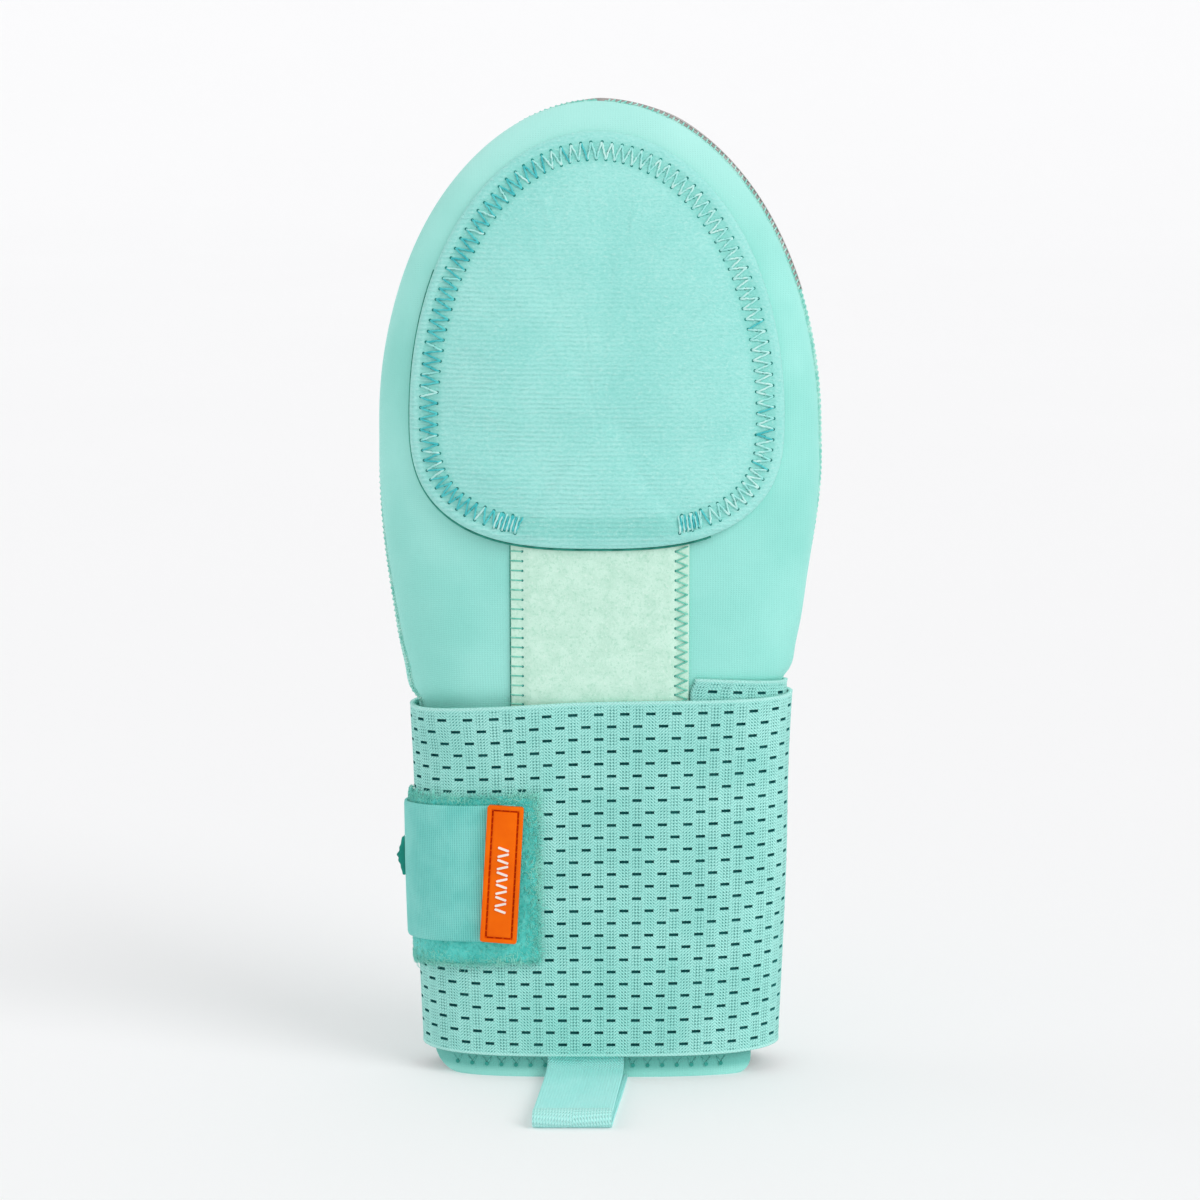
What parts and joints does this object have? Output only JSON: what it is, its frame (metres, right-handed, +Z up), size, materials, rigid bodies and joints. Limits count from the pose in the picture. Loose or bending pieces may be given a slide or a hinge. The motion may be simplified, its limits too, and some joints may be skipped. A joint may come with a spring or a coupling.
{
  "type": "baseball sliding mitt",
  "caption": "Padded neoprene sliding mitt with an oval front pad, a wrapped perforated elastic cuff, a hook-and-loop strap and a webbing pull tab.",
  "frame": {"origin": "middle of the footprint's box on the surface that the mitt stands on, the pull tab counted in", "axes": "+Z up from the cuff to the finger end, +X to the viewer's right seen from the front, +Y from the front pad to the back"},
  "size_m": [0.1228, 0.0928, 0.2733],
  "materials": {
    "aqua_neoprene": "matt knitted face over neoprene foam, soft and slightly napped",
    "brushed_pad": "brushed knit with fine level ribs and zigzag stitching",
    "mint_suede": "pale suede, very matt and mottled",
    "elastic_mesh": "perforated woven elastic with dash-shaped holes",
    "loop_tape": "fuzzy loop tape, sewn round its edge",
    "hook_tape": "woven tape with fine upright lines",
    "fold_tape": "darker folded seam end",
    "orange_rubber": "moulded rubber, satin",
    "webbing": "woven herringbone webbing",
    "guard_grey": "grey textile with a napped face"
  },
  "bodies": {
    "root": {"front_panel": "aqua_neoprene", "back_panel": "aqua_neoprene", "tip_guard": "guard_grey", "pad_patch": "brushed_pad", "centre_strip": "mint_suede", "elastic_band": "elastic_mesh", "loop_patch": "loop_tape", "hook_strap": "hook_tape", "strap_seam_fold": "fold_tape", "rubber_label": "orange_rubber", "pull_tab": "webbing"}
  },
  "joints": []
}
